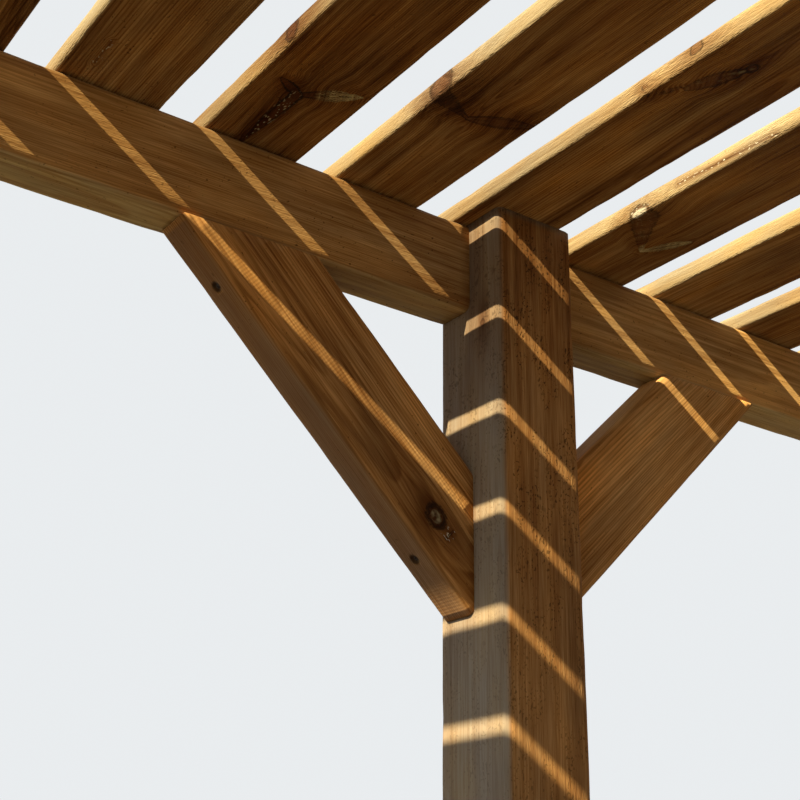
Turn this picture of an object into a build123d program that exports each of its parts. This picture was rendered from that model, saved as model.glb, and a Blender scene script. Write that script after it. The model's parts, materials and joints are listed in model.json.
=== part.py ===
"""A free-standing timber pergola: two rows of posts and beams under a deck of spaced slats.

Millimetres. X runs along the rows, Y across them and Z up. The origin is on the ground in the
middle of the plan. Beams sit between the posts, flush with the posts' outer faces and tops,
knee braces stiffen each post in line with its beams, and the slats lie flat across both rows.
"""
import os

from build123d import *

os.makedirs("parts", exist_ok=True)

# Posts
POST_SIDE = 97.0
POST_HEIGHT = 2250.0
POST_ARRIS = 8.0

# Bays along each row, from post centre to post centre
BAY_LENGTH = 1863.0
BAY_COUNT = 2

# Beams, flush with the outer faces and the tops of the posts
BEAM_WIDTH = 50.0
BEAM_HEIGHT = 97.0
BEAM_ARRIS = 8.0

# Knee braces: how far each reaches along the beam and down the post, and its section
BRACE_RUN = 322.0
BRACE_DROP = 310.0
BRACE_DEPTH = 102.0
BRACE_THICKNESS = 43.0
BRACE_SETBACK = 10.0
BRACE_ARRIS = 7.0
BRACE_NOSE = 4.0

# Screw recesses in the narrow underside of each brace, measured from its two tips
SCREW_FROM_TOP_TIP = 72.0
SCREW_FROM_LOW_TIP = 72.0
RECESS_RADIUS = 5.0
RECESS_CONE_ANGLE = 90.0
PILOT_RADIUS = 2.2
PILOT_DEPTH = 30.0

# Slats, which reach past the outer faces of both rows
SLAT_LENGTH = 2700.0
SLAT_WIDTH = 100.0
SLAT_THICKNESS = 21.0
SLAT_ARRIS = 4.0
SLAT_GAP = 42.0
SLAT_OVERHANG = 140.0

# Values worked out from the sizes above
ROW_LENGTH = BAY_COUNT * BAY_LENGTH + POST_SIDE
BEAM_LENGTH = BAY_LENGTH - POST_SIDE
BEAM_UNDERSIDE = POST_HEIGHT - BEAM_HEIGHT
ROW_SPACING = SLAT_LENGTH - 2 * SLAT_OVERHANG - POST_SIDE
SLAT_PITCH = SLAT_WIDTH + SLAT_GAP
SLAT_COUNT = int((ROW_LENGTH - SLAT_WIDTH) // SLAT_PITCH) + 1

POST_PLACES = [(index - BAY_COUNT / 2) * BAY_LENGTH for index in range(BAY_COUNT + 1)]
ROWS = {"front": -1, "back": 1}


def row_centre(side):
    """The Y of a row's post centres; side is -1 for the front row and 1 for the back row."""
    return side * ROW_SPACING / 2


def beam_centre(side):
    """The Y of a beam's middle, with its outer face flush with the posts' outer faces."""
    return row_centre(side) + side * (POST_SIDE - BEAM_WIDTH) / 2


def brace_centre(side):
    """The Y of a brace's middle, set back from the posts' outer faces."""
    return row_centre(side) + side * (POST_SIDE / 2 - BRACE_SETBACK - BRACE_THICKNESS / 2)


def write(piece, name):
    """Labels a finished piece and writes it to its own file."""
    piece.part.label = name
    export_step(piece.part, f"parts/{name}.step")


def build_post(name, x, side):
    """A square post with rounded upright arrises, standing on the ground."""
    with BuildPart() as post:
        with BuildSketch(Plane.XY):
            with Locations((x, row_centre(side))):
                RectangleRounded(POST_SIDE, POST_SIDE, POST_ARRIS)
        extrude(amount=POST_HEIGHT)
    write(post, name)


def build_beam(name, start_x, side):
    """A beam with rounded long arrises, from one post's face to the next."""
    with BuildPart() as beam:
        with BuildSketch(Plane.YZ.offset(start_x)):
            with Locations((beam_centre(side), POST_HEIGHT - BEAM_HEIGHT / 2)):
                RectangleRounded(BEAM_WIDTH, BEAM_HEIGHT, BEAM_ARRIS)
        extrude(amount=BEAM_LENGTH)
    write(beam, name)


def build_brace(name, post_x, side, reach):
    """A knee brace between a post and its beam; reach is -1 or 1, the way it leans along X.

    Its outline is the board's two long edges, cut plumb on the post and level under the beam,
    with both sharp tips nipped off square to the board.
    """
    face_x = post_x + reach * POST_SIDE / 2
    top_tip = Vector(face_x + reach * BRACE_RUN, 0, BEAM_UNDERSIDE)
    low_tip = Vector(face_x, 0, BEAM_UNDERSIDE - BRACE_DROP)
    along = (low_tip - top_tip).normalized()
    outward = Vector(reach * BRACE_DROP, 0, -BRACE_RUN).normalized()
    level_cut = BRACE_DEPTH / abs(outward.Z)
    plumb_cut = BRACE_DEPTH / abs(outward.X)
    top_heel = top_tip - Vector(reach * level_cut, 0, 0)
    low_heel = low_tip + Vector(0, 0, plumb_cut)
    top_nip = BRACE_NOSE * abs(outward.Z / along.Z)
    low_nip = BRACE_NOSE * abs(outward.X / along.X)

    outline = [
        top_heel,
        top_tip - Vector(reach * BRACE_NOSE / abs(outward.Z), 0, 0),
        top_tip + along * top_nip,
        low_tip - along * low_nip,
        low_tip + Vector(0, 0, BRACE_NOSE / abs(outward.X)),
        low_heel,
    ]
    middle = brace_centre(side)
    with BuildPart() as brace:
        with BuildSketch(Plane.XZ.offset(-middle)):
            with BuildLine():
                Polyline(*[(point.X, point.Z) for point in outline], close=True)
            make_face()
        extrude(amount=BRACE_THICKNESS / 2, both=True)
        long_edges = brace.edges().filter_by(Axis(low_tip, along))
        fillet(long_edges, BRACE_ARRIS)
        screw_places = [
            top_tip + along * SCREW_FROM_TOP_TIP,
            low_tip - along * SCREW_FROM_LOW_TIP,
        ]
        for place in screw_places:
            start = Vector(place.X, middle, place.Z)
            with Locations(Plane(origin=start, x_dir=(0, 1, 0), z_dir=outward)):
                CounterSinkHole(PILOT_RADIUS, RECESS_RADIUS, PILOT_DEPTH, RECESS_CONE_ANGLE)
    write(brace, name)


def build_slat(name, start_x):
    """A flat slat with rounded long arrises, lying across both rows."""
    with BuildPart() as slat:
        with BuildSketch(Plane.XZ.offset(-SLAT_LENGTH / 2)):
            with Locations((start_x + SLAT_WIDTH / 2, POST_HEIGHT + SLAT_THICKNESS / 2)):
                RectangleRounded(SLAT_WIDTH, SLAT_THICKNESS, SLAT_ARRIS)
        extrude(amount=SLAT_LENGTH)
    write(slat, name)


# Each row of posts, beams and braces
for row_name, row_side in ROWS.items():
    for number, post_x in enumerate(POST_PLACES, start=1):
        build_post(f"{row_name}_post_{number}", post_x, row_side)
        if number > 1:
            build_brace(f"{row_name}_brace_{number}_left", post_x, row_side, -1)
        if number <= BAY_COUNT:
            build_brace(f"{row_name}_brace_{number}_right", post_x, row_side, 1)
            build_beam(f"{row_name}_beam_{number}", post_x + POST_SIDE / 2, row_side)

# The deck of slats, flush with the left end of the rows
for index in range(SLAT_COUNT):
    build_slat(f"slat_{index + 1:02d}", index * SLAT_PITCH - ROW_LENGTH / 2)
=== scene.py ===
"""Dresses a timber pergola as planed, weathered softwood under a plain studio light.

Metres, in the part's own frame: X along the rows, Y across them towards the back row, Z up.
Every timber has its own board frame too: u along its length, v across its width and w through
its thickness, all from its middle. The wood's rings, fibres and knots are worked out in it.
"""
from __future__ import annotations

import functools
import json
import logging
import math
import random
from dataclasses import dataclass, field
from enum import Enum
from typing import Any, Sequence, Union

import bmesh
import bpy
from mathutils import Matrix, Vector

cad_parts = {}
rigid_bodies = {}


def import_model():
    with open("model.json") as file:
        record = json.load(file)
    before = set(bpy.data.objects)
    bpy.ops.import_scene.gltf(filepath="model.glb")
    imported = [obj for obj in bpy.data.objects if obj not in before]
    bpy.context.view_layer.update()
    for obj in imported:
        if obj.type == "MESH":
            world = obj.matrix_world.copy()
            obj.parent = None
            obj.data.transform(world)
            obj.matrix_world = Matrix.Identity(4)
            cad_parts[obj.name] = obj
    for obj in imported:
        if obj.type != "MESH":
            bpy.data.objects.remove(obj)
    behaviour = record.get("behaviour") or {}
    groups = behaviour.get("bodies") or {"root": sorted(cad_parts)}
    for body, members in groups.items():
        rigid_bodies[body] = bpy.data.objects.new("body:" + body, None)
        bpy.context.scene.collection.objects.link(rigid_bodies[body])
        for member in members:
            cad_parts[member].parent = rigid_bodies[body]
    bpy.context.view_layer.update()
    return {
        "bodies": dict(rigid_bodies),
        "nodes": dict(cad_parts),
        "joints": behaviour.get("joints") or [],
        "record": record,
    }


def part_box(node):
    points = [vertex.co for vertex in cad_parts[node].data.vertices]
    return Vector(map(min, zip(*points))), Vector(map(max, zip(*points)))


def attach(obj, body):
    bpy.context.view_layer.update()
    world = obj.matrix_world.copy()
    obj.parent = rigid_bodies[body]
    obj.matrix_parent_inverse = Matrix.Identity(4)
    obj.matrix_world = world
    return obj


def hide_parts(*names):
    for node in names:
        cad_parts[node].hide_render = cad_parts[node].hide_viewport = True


LOG = logging.getLogger("pergola")
BODY = "root"
MM = 0.001
TO_MM = 1000.0

Colour = tuple[float, float, float]
Place = tuple[float, float, float]
Operand = Union["Value", float, int]


class Value:
    """A node's output that sums can be written with, in shader and geometry trees alike."""

    def __init__(self, bench: "Bench", socket: bpy.types.NodeSocket) -> None:
        """Wraps a node's output, on the bench whose tree it is in."""
        self.bench = bench
        self.socket = socket

    @property
    def is_vector(self) -> bool:
        """Whether the output carries three numbers."""
        return self.socket.type in ("VECTOR", "RGBA")

    def sibling(self, name: str) -> "Value":
        """Another output of the same node, by its name."""
        return Value(self.bench, self.socket.node.outputs[name])

    def maths(self, operation: str, *others: Operand) -> "Value":
        """What a Math node makes of this value and others."""
        return self.bench.node("ShaderNodeMath", {"operation": operation}, [self, *others])

    def vector_maths(self, operation: str, *others: Any, output: str = "Vector") -> "Value":
        """What a Vector Math node makes of this and others, as a "Vector" or one "Value"."""
        node = self.bench.node("ShaderNodeVectorMath", {"operation": operation}, [self, *others])
        return node.sibling(output)

    def _sum(self, operation: str, first: Any, second: Any) -> "Value":
        """One of the four sums, on vectors where either operand is one.

        Args:
            operation: ADD, SUBTRACT, MULTIPLY or DIVIDE.
            first: A value, a number or three numbers.
            second: A value, a number or three numbers.

        Returns:
            The node's result.
        """
        vectors = [isinstance(x, Value) and x.is_vector or isinstance(x, tuple) for x in (first, second)]
        if not any(vectors):
            return self.bench.node("ShaderNodeMath", {"operation": operation}, [first, second])
        if operation == "MULTIPLY" and not all(vectors):
            arrow, number = (first, second) if vectors[0] else (second, first)
            inputs = {"Vector": arrow, "Scale": number}
            return self.bench.node("ShaderNodeVectorMath", {"operation": "SCALE"}, inputs)
        return self.bench.node("ShaderNodeVectorMath", {"operation": operation}, [first, second])

    def __add__(self, other: Any) -> "Value":
        """This plus the other."""
        return self._sum("ADD", self, other)

    def __radd__(self, other: Any) -> "Value":
        """The other plus this."""
        return self._sum("ADD", other, self)

    def __sub__(self, other: Any) -> "Value":
        """This less the other."""
        return self._sum("SUBTRACT", self, other)

    def __rsub__(self, other: Any) -> "Value":
        """The other less this."""
        return self._sum("SUBTRACT", other, self)

    def __mul__(self, other: Any) -> "Value":
        """This times the other."""
        return self._sum("MULTIPLY", self, other)

    def __rmul__(self, other: Any) -> "Value":
        """The other times this."""
        return self._sum("MULTIPLY", other, self)

    def __truediv__(self, other: Any) -> "Value":
        """This divided by the other."""
        return self._sum("DIVIDE", self, other)

    def __rtruediv__(self, other: Any) -> "Value":
        """The other divided by this."""
        return self._sum("DIVIDE", other, self)

    def __pow__(self, power: Operand) -> "Value":
        """This to a power."""
        return self.maths("POWER", power)

    def __abs__(self) -> "Value":
        """This without its sign."""
        return self.maths("ABSOLUTE")

    def least(self, other: Operand) -> "Value":
        """The smaller of this and the other."""
        return self.maths("MINIMUM", other)

    def most(self, other: Operand) -> "Value":
        """The larger of this and the other."""
        return self.maths("MAXIMUM", other)

    def within(self, low: float, high: float) -> "Value":
        """This, held between two numbers."""
        return self.bench.node("ShaderNodeClamp", {}, [self, low, high])

    def bell(self) -> "Value":
        """1 where this is 0, falling smoothly to 0 on both sides within about 2."""
        return (self * self * -1.0).maths("EXPONENT")

    def step(self, low: Operand, high: Operand) -> "Value":
        """A smooth step of this value.

        Args:
            low: Where the step is still 0.
            high: Where the step has reached 1.

        Returns:
            A value from 0 to 1.
        """
        settings = {"interpolation_type": "SMOOTHSTEP"}
        inputs = {"Value": self, "From Min": low, "From Max": high}
        return self.bench.node("ShaderNodeMapRange", settings, inputs)

    def parts(self) -> tuple["Value", "Value", "Value"]:
        """The vector's three numbers."""
        node = self.bench.node("ShaderNodeSeparateXYZ", {}, [self])
        return node, node.sibling("Y"), node.sibling("Z")

    def length(self) -> "Value":
        """The vector's length."""
        return self.vector_maths("LENGTH", output="Value")

    def dot(self, other: Any) -> "Value":
        """The dot product with another vector."""
        return self.vector_maths("DOT_PRODUCT", other, output="Value")


class Bench:
    """Adds nodes to one tree, left to right."""

    def __init__(self, tree: bpy.types.NodeTree) -> None:
        """Starts on a shader or geometry tree."""
        self.tree = tree

    def node(self, kind: str, settings: dict[str, Any], inputs: Any = None) -> Value:
        """Adds a node, sets it and fills its sockets.

        Args:
            kind: The node's type.
            settings: The node's own properties, set first.
            inputs: Values or links, as a list in the sockets' order or a dict by name.

        Returns:
            The node's first shown output.
        """
        node = self.tree.nodes.new(kind)
        for name, setting in settings.items():
            setattr(node, name, setting)
        pairs = inputs.items() if isinstance(inputs, dict) else enumerate(inputs or [])
        for key, content in pairs:
            if isinstance(key, str):
                socket = next(s for s in node.inputs if s.name == key and s.enabled)
            else:
                socket = node.inputs[key]
            if isinstance(content, Value):
                self.tree.links.new(content.socket, socket)
            elif content is not None:
                socket.default_value = content
        shown = [socket for socket in node.outputs if socket.enabled]
        return Value(self, shown[0] if shown else None)

    def vector(self, x: Operand, y: Operand, z: Operand) -> Value:
        """Three numbers as one vector."""
        return self.node("ShaderNodeCombineXYZ", {}, [x, y, z])

    def noise(self, place: Value, detail: float = 1.0, rough: float = 0.5, flat: bool = False) -> Value:
        """Cloudy noise from 0 to 1, about one cloud for each unit of the place.

        Args:
            place: Where it is read.
            detail: How many finer layers it has.
            rough: How strong the finer layers are.
            flat: Whether it leaves out the place's third number, which is quicker.

        Returns:
            The noise, whose sibling "Color" has three of its kind.
        """
        inputs = {"Vector": place, "Scale": 1.0, "Detail": detail, "Roughness": rough}
        settings = {"noise_dimensions": "2D" if flat else "3D"}
        return self.node("ShaderNodeTexNoise", settings, inputs)

    def mix(self, factor: Operand, first: Any, second: Any) -> Value:
        """Two colours mixed.

        Args:
            factor: The share of the second colour.
            first: A colour or a link.
            second: A colour or a link.

        Returns:
            The mixed colour.
        """
        first, second = ((*x, 1.0) if isinstance(x, tuple) else x for x in (first, second))
        inputs = {"Factor": factor, "A": first, "B": second}
        return self.node("ShaderNodeMix", {"data_type": "RGBA", "clamp_factor": True}, inputs)

    def surface(self, inputs: dict[str, Any]) -> None:
        """Ends a material in a Principled BSDF with these inputs."""
        shader = self.node("ShaderNodeBsdfPrincipled", {}, inputs)
        self.node("ShaderNodeOutputMaterial", {}, {"Surface": shader})


def emptied(owner: Union[bpy.types.Material, bpy.types.World]) -> Bench:
    """Turns a material's or a world's nodes on and clears them.

    Args:
        owner: The material or the world.

    Returns:
        The bench for its new nodes.
    """
    owner.use_nodes = True
    owner.node_tree.nodes.clear()
    return Bench(owner.node_tree)


class Attribute:
    """Names of the values that every timber's mesh carries for its finish."""

    GRAIN = "grain"
    BOARD = "board"
    TONE = "tone"
    FUZZ = "fuzz"
    END = "end"
    KNOT_PARTS = ("at", "reach", "girth", "look")

    @staticmethod
    def knot(number: int, what: str) -> str:
        """The name of a knot's attribute; what is one of KNOT_PARTS."""
        return f"knot_{number}_{what}"


@dataclass(frozen=True)
class Knot:
    """A branch in a board, sawn across as a round knot or along as a spike.

    Attributes:
        at: Where it starts, in the board frame.
        reach: From its start to its far end.
        girth: Its radius where it starts, the pull on it half way, and its radius where it ends.
        look: How much it has of dried resin, of pale torn fibres and of black bark, each up to about 1.
    """

    at: Place
    reach: Place
    girth: Place
    look: Place = (0.0, 0.0, 0.5)


@dataclass(frozen=True)
class Wood:
    """The piece of tree that a timber was sawn from.

    Attributes:
        heart: The tree's middle across the board, as v and w.
        light: How much lighter or darker than its kind the board is, about -0.3 to 0.3.
        grey: How much more or less weathered than its kind it is, about -0.3 to 0.5.
        knots: Its knots.
    """

    heart: tuple[float, float]
    light: float = 0.0
    grey: float = 0.0
    knots: tuple[Knot, ...] = ()


@dataclass(frozen=True)
class Timber:
    """One planed timber and its place.

    Attributes:
        node: The part's node that it stands for.
        length: Its size along u.
        width: Its size along v.
        thickness: Its size along w.
        arris: The radius of its four long edges.
        place: Its board frame in the part's frame.
        wood: What it was sawn from.
        rounding: How many steps round off half an arris.
        swell: How much its edges stand proud beside knots, from 0 to 1.
    """

    node: str
    length: float
    width: float
    thickness: float
    arris: float
    place: Matrix
    wood: Wood
    rounding: int = 3
    swell: float = 0.0

    @property
    def seed(self) -> float:
        """A number from 0 to 1 that is the timber's own."""
        return random.Random(self.node).random()


def board_frame(along: Vector, across: Vector, middle: Vector) -> Matrix:
    """The matrix that takes board coordinates to the part's frame.

    Args:
        along: The way that u runs.
        across: The way that v runs.
        middle: Where the board's middle is.

    Returns:
        A right-handed frame.
    """
    u, v = along.normalized(), across.normalized()
    rotation = Matrix((u, v, u.cross(v))).transposed()
    return Matrix.Translation(middle) @ rotation.to_4x4()


class GeometryTree:
    """A Geometry Nodes tree with named inputs that turns into plain meshes.

    Attributes:
        LEAST: What a length is divided by at least.
    """

    LEAST = 1e-6

    def __init__(self, name: str, inputs: dict[str, str]) -> None:
        """Starts a tree with its named inputs, one of which is always its finish.

        Args:
            name: The tree's name.
            inputs: Each input's name and its kind of socket, such as Float.
        """
        self.tree = bpy.data.node_groups.new(name, "GeometryNodeTree")
        self.bench = Bench(self.tree)
        self.sockets: dict[str, str] = {}
        for title, kind in {**inputs, "Finish": "Material"}.items():
            socket = self.tree.interface.new_socket(title, in_out="INPUT", socket_type=f"NodeSocket{kind}")
            self.sockets[title] = socket.identifier
        self.tree.interface.new_socket("Mesh", in_out="OUTPUT", socket_type="NodeSocketGeometry")
        self.given = self.tree.nodes.new("NodeGroupInput")

    def value(self, name: str) -> Value:
        """A named input as a value."""
        return Value(self.bench, self.given.outputs[name])

    def close(self, geometry: Value) -> None:
        """Ends the tree in plain geometry with its finish.

        Args:
            geometry: What the tree has made.
        """
        bench = self.bench
        real = bench.node("GeometryNodeRealizeInstances", {}, {"Geometry": geometry})
        inputs = {"Geometry": real, "Material": self.value("Finish")}
        bench.node("NodeGroupOutput", {}, [bench.node("GeometryNodeSetMaterial", {}, inputs)])

    def mesh(self, given: dict[str, Any], blank: bpy.types.Mesh) -> bpy.types.Mesh:
        """Runs the tree once.

        Args:
            given: The inputs by name.
            blank: The mesh that the tree starts from.

        Returns:
            A plain mesh.
        """
        carrier = bpy.data.objects.new("blank", blank)
        bpy.context.scene.collection.objects.link(carrier)
        modifier = carrier.modifiers.new("tree", "NODES")
        modifier.node_group = self.tree
        for name, content in given.items():
            modifier[self.sockets[name]] = content
        shaped = carrier.evaluated_get(bpy.context.evaluated_depsgraph_get())
        mesh = bpy.data.meshes.new_from_object(shaped)
        mesh.materials.clear()
        mesh.materials.append(given["Finish"])
        mesh.polygons.foreach_set("material_index", [0] * len(mesh.polygons))
        carrier.modifiers.clear()
        bpy.data.objects.remove(carrier)
        bpy.data.meshes.remove(blank)
        return mesh


def add_piece(name: str, mesh: bpy.types.Mesh) -> bpy.types.Object:
    """Puts a mesh into the scene as an object at the origin.

    Args:
        name: The object's name.
        mesh: Its mesh.

    Returns:
        The object.
    """
    mesh.name = name
    piece = bpy.data.objects.new(name, mesh)
    bpy.context.scene.collection.objects.link(piece)
    return piece


class Saw(GeometryTree):
    """The tree that makes every timber: a planed bar with rounded arrises, a little worn.

    Attributes:
        KNOTS: How many knots a timber can have.
        CELL_ALONG: The largest cell along a timber.
        CELL_ACROSS: The largest cell across its flats.
        SIZES: The tree's numbers.
        NO_KNOT: What stands for a knot that a timber doesn't have, far away from it.
        SEED_STRIDE: How far apart two timbers read their wear, for seeds of 0 and 1.
        SLOW_WEAR_PER_METRE: How close the hollows in its faces lie along u, v and w.
        QUICK_WEAR_PER_METRE: How close the dents in its arrises lie.
        FACE_WEAR: How deep the hollows are.
        ARRIS_WEAR: How deep the dents are.
        PROUD_REACH: How far round a knot the wood stands proud, in the knot's radii.
        PROUD_RISE: How far it stands proud there, in the knot's radii.
        FUZZ_REACH: How far round a knot fibres stand up, in the knot's radii.
        FUZZ_BEYOND: How much further they do for any knot.
    """

    KNOTS = 4
    CELL_ALONG = 14 * MM
    CELL_ACROSS = 11 * MM
    SIZES = ("Length", "Width", "Thickness", "Arris", "Rounding", "Seed", "Wear", "Swell")
    NO_KNOT = Knot((9.0, 9.0, 9.0), (0.0, 0.0, 0.1), (0.002, 0.002, 0.002))
    SEED_STRIDE = (37.0, 91.0, 53.0)
    SLOW_WEAR_PER_METRE = (3.1, 9.0, 9.0)
    QUICK_WEAR_PER_METRE = (24.0, 60.0, 60.0)
    FACE_WEAR = 0.25 * MM
    ARRIS_WEAR = 1.1 * MM
    PROUD_REACH = 1.9
    PROUD_RISE = 0.09
    FUZZ_REACH = 2.0
    FUZZ_BEYOND = 30 * MM

    def __init__(self) -> None:
        """Builds the tree."""
        knots = range(1, self.KNOTS + 1)
        self.mark_names = [Attribute.BOARD, Attribute.TONE]
        self.mark_names += [Attribute.knot(n, what) for n in knots for what in Attribute.KNOT_PARTS]
        inputs = {**dict.fromkeys(self.SIZES, "Float"), **dict.fromkeys(self.mark_names, "Vector")}
        super().__init__("planed_timber", inputs)
        self._build()

    def _cells(self, size: Value, arris: Value, rounding: Value) -> Value:
        """How many cells one side of the section has, its two rounded arrises included."""
        flat = ((size - 2.0 * arris) / self.CELL_ACROSS).maths("CEIL").most(2.0)
        return flat + 2.0 * rounding

    @staticmethod
    def _spread(place: Value, size: Value, cells: Value, arris: Value, rounding: Value) -> Value:
        """Moves evenly spaced rows so that the outer ones fall on the rounded arrises.

        Args:
            place: Where a point of the even grid is, along one side.
            size: The side's length.
            cells: How many cells it has.
            arris: The radius of the rounding.
            rounding: How many steps round off half an arris.

        Returns:
            Where the point goes.
        """
        row = ((place / size + 0.5) * cells).maths("ROUND")
        from_end = row.least(cells - row)
        inner = size * 0.5 - arris
        turn = (rounding - from_end) / rounding * math.radians(45)
        rounded = inner + arris * turn.most(0.0).maths("TANGENT")
        flat = inner * (1.0 - (from_end - rounding) / (cells * 0.5 - rounding))
        in_arris = from_end.maths("LESS_THAN", rounding - 0.5)
        distance = in_arris * rounded + (1.0 - in_arris) * flat
        return distance * place.maths("SIGN")

    def _near_knots(self, grain: Value) -> tuple[Value, Value]:
        """How near the knots' far ends are.

        Args:
            grain: The point in the board frame.

        Returns:
            How far the wood stands proud there, and how fuzzy its fibres are, from 0 to 1.
        """
        proud, fuzz = 0.0, 0.0
        for number in range(1, self.KNOTS + 1):
            at, reach, girth = (self.value(Attribute.knot(number, w)) for w in Attribute.KNOT_PARTS[:3])
            radius = girth.parts()[2]
            away = (grain - (at + reach)).length()
            near = (away / (radius * self.PROUD_REACH + self.LEAST)).bell()
            proud = near * radius * self.PROUD_RISE + proud
            fuzz = (away / (radius * self.FUZZ_REACH + self.FUZZ_BEYOND)).bell() + fuzz
        return proud, fuzz.least(1.0)

    def _store(self, mesh: Value, name: str, content: Value, kind: str) -> Value:
        """Writes a named attribute on the mesh's points.

        Args:
            mesh: The mesh.
            name: The attribute's name.
            content: Its value at each point.
            kind: FLOAT or FLOAT_VECTOR.

        Returns:
            The mesh with the attribute.
        """
        settings = {"data_type": kind, "domain": "POINT"}
        inputs = {"Geometry": mesh, "Name": name, "Value": content}
        return self.bench.node("GeometryNodeStoreNamedAttribute", settings, inputs)

    def _section(self) -> Value:
        """Makes the plain bar and rounds its arrises.

        Returns:
            The bar's mesh, in the board frame.
        """
        bench = self.bench
        length, width, thickness, arris, rounding = (self.value(name) for name in self.SIZES[:5])
        along = (length / self.CELL_ALONG).maths("CEIL").most(2.0)
        wide = self._cells(width, arris, rounding)
        thick = self._cells(thickness, arris, rounding)
        sizes = {
            "Size": bench.vector(length, width, thickness),
            "Vertices X": along + 1.0,
            "Vertices Y": wide + 1.0,
            "Vertices Z": thick + 1.0,
        }
        box = bench.node("GeometryNodeMeshCube", {}, sizes)
        u, v, w = bench.node("GeometryNodeInputPosition", {}).parts()
        v = self._spread(v, width, wide, arris, rounding)
        w = self._spread(w, thickness, thick, arris, rounding)
        inner_v = v.most(arris - width * 0.5).least(width * 0.5 - arris)
        inner_w = w.most(arris - thickness * 0.5).least(thickness * 0.5 - arris)
        out_v, out_w = v - inner_v, w - inner_w
        furthest = abs(out_v).most(abs(out_w))
        distance = (out_v * out_v + out_w * out_w).maths("SQRT").most(self.LEAST)
        pull = furthest / distance
        place = bench.vector(u, inner_v + out_v * pull, inner_w + out_w * pull)
        return bench.node("GeometryNodeSetPosition", {}, {"Geometry": box, "Position": place})

    def _build(self) -> None:
        """Lays out the tree from the even box to the dressed timber."""
        bench = self.bench
        _, width, thickness, arris, _, seed, wear, swell = (self.value(name) for name in self.SIZES)
        mesh = self._section()
        place = bench.node("GeometryNodeInputPosition", {})
        proud, fuzz = self._near_knots(place)
        mesh = self._store(mesh, Attribute.GRAIN, place, "FLOAT_VECTOR")
        mesh = self._store(mesh, Attribute.FUZZ, fuzz, "FLOAT")
        from_end = self.value("Length") * 0.5 - abs(place.parts()[0])
        mesh = self._store(mesh, Attribute.END, from_end, "FLOAT")
        for name in self.mark_names:
            mesh = self._store(mesh, name, self.value(name), "FLOAT_VECTOR")

        normal = bench.node("GeometryNodeInputNormal", {})
        shift = bench.vector(*(seed * stride for stride in self.SEED_STRIDE))
        _, v, w = place.parts()
        near_v = (abs(v) - width * 0.5 + arris) / arris
        near_w = (abs(w) - thickness * 0.5 + arris) / arris
        on_arris = (near_v.most(0.0) * near_w.most(0.0) * 3.0).least(1.0)
        slow = bench.noise(place * self.SLOW_WEAR_PER_METRE + shift, 1.0)
        quick = bench.noise(place * self.QUICK_WEAR_PER_METRE + shift, 2.0)
        worn = slow * self.FACE_WEAR + on_arris * quick.step(0.45, 0.85) * self.ARRIS_WEAR
        facing = normal.parts()
        sideways = 1.0 - abs(facing[0]).step(0.3, 0.6)
        proud = proud * facing[2].step(0.7, 0.2) * sideways * swell
        offset = normal * (proud - worn * wear)
        mesh = bench.node("GeometryNodeSetPosition", {}, {"Geometry": mesh, "Offset": offset})
        smooth = {"Geometry": mesh, "Shade Smooth": sideways.maths("GREATER_THAN", 0.5)}
        self.close(bench.node("GeometryNodeSetShadeSmooth", {"domain": "FACE"}, smooth))

    def _marks(self, timber: Timber) -> dict[str, Place]:
        """Gathers the values that are the same all over a timber.

        Args:
            timber: The timber.

        Returns:
            The values by their attributes' names.
        """
        wood = timber.wood
        knots = (*wood.knots, *[self.NO_KNOT] * self.KNOTS)[:self.KNOTS]
        values = [(*wood.heart, timber.seed), (wood.light, wood.grey, 0.0)]
        for knot in knots:
            values += [knot.at, knot.reach, knot.girth, knot.look]
        return dict(zip(self.mark_names, values))

    def renew(self, mesh: bpy.types.Mesh, timber: Timber) -> None:
        """Writes a timber's values again, on the faces that cutting it has bared too.

        Args:
            mesh: The timber's mesh, cut to its shape.
            timber: The timber.
        """
        to_board = timber.place.inverted()
        grain = [to_board @ point.co for point in mesh.vertices]
        fields = mesh.attributes
        fields[Attribute.GRAIN].data.foreach_set("vector", [number for place in grain for number in place])
        fields[Attribute.END].data.foreach_set("value", [timber.length / 2 - abs(place.x) for place in grain])
        for name, content in self._marks(timber).items():
            fields[name].data.foreach_set("vector", list(content) * len(grain))

    def cut(self, timber: Timber, finish: bpy.types.Material, wear: float = 1.0) -> bpy.types.Object:
        """Makes one timber as a plain mesh in its place.

        Args:
            timber: Its sizes, place and wood.
            finish: Its material.
            wear: How worn it is, about 0 to 2.

        Returns:
            The object, at the origin with its place in its mesh.
        """
        sizes = (timber.length, timber.width, timber.thickness, timber.arris)
        rest = (float(timber.rounding), timber.seed, wear, timber.swell)
        given = {**dict(zip(self.SIZES, (*sizes, *rest))), **self._marks(timber), "Finish": finish}
        mesh = self.mesh(given, bpy.data.meshes.new("blank"))
        mesh.transform(timber.place)
        return add_piece(f"dressed_{timber.node}", mesh)


class Screwed(Enum):
    """Which face of a timber its screws go into."""

    NOWHERE = "nowhere"
    BROAD = "the face towards +w"
    NARROW = "the face towards -v"


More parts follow.
